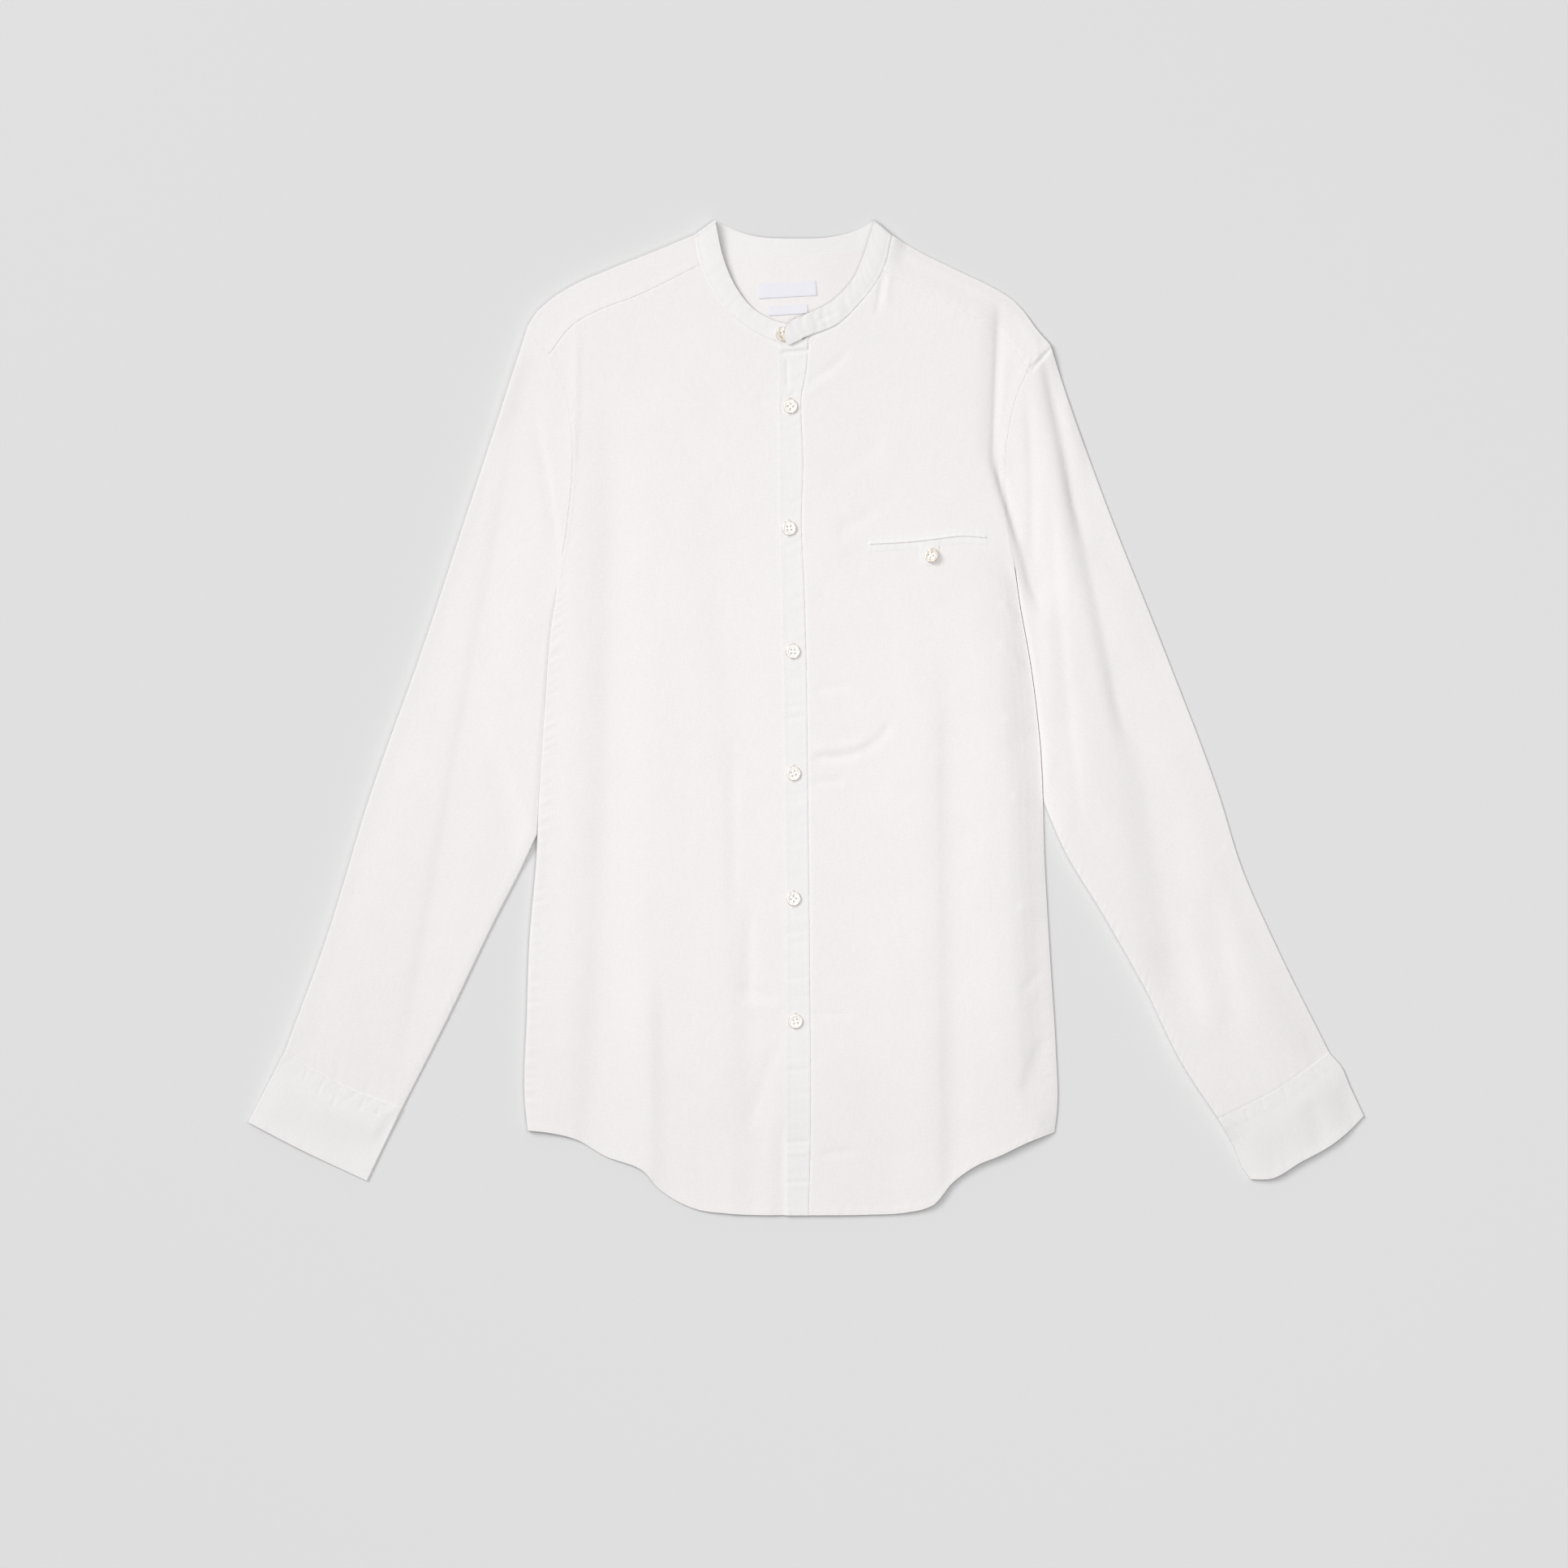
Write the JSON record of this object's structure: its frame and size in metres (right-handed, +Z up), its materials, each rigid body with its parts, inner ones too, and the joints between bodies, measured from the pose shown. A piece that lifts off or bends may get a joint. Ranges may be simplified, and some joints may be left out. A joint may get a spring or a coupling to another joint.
{
  "type": "mandarin collar shirt",
  "caption": "Collarless shirt laid flat: mandarin band, buttonhole placket, welt chest pocket with a button tab, long sleeves with cuffs and a curved shirt-tail hem.",
  "frame": {"origin": "on the surface that the shirt rests on, under the middle of its outline", "axes": "+X to the wearer's left, +Y to the collar, +Z up, out of the shirt's front"},
  "size_m": [0.8795, 0.784, 0.0115],
  "materials": {
    "linen": "plain weave with slubs, matt off-white",
    "trim_linen": "interlined plain weave, matt off-white, a little cooler",
    "label": "woven satin, blank",
    "button": "polished pearl"
  },
  "bodies": {
    "root": {"back": "linen", "yoke": "linen", "front_right": "linen", "front_left": "linen", "sleeve_right": "linen", "sleeve_left": "linen", "placket": "trim_linen", "collar_band": "trim_linen", "cuff_right": "trim_linen", "cuff_left": "trim_linen", "pocket_welt_upper": "trim_linen", "pocket_welt_lower": "trim_linen", "pocket_tab": "trim_linen", "label_main": "label", "label_small": "label", "button_collar": "button", "button_1": "button", "button_2": "button", "button_3": "button", "button_4": "button", "button_5": "button", "button_6": "button", "button_pocket": "button"}
  },
  "joints": []
}
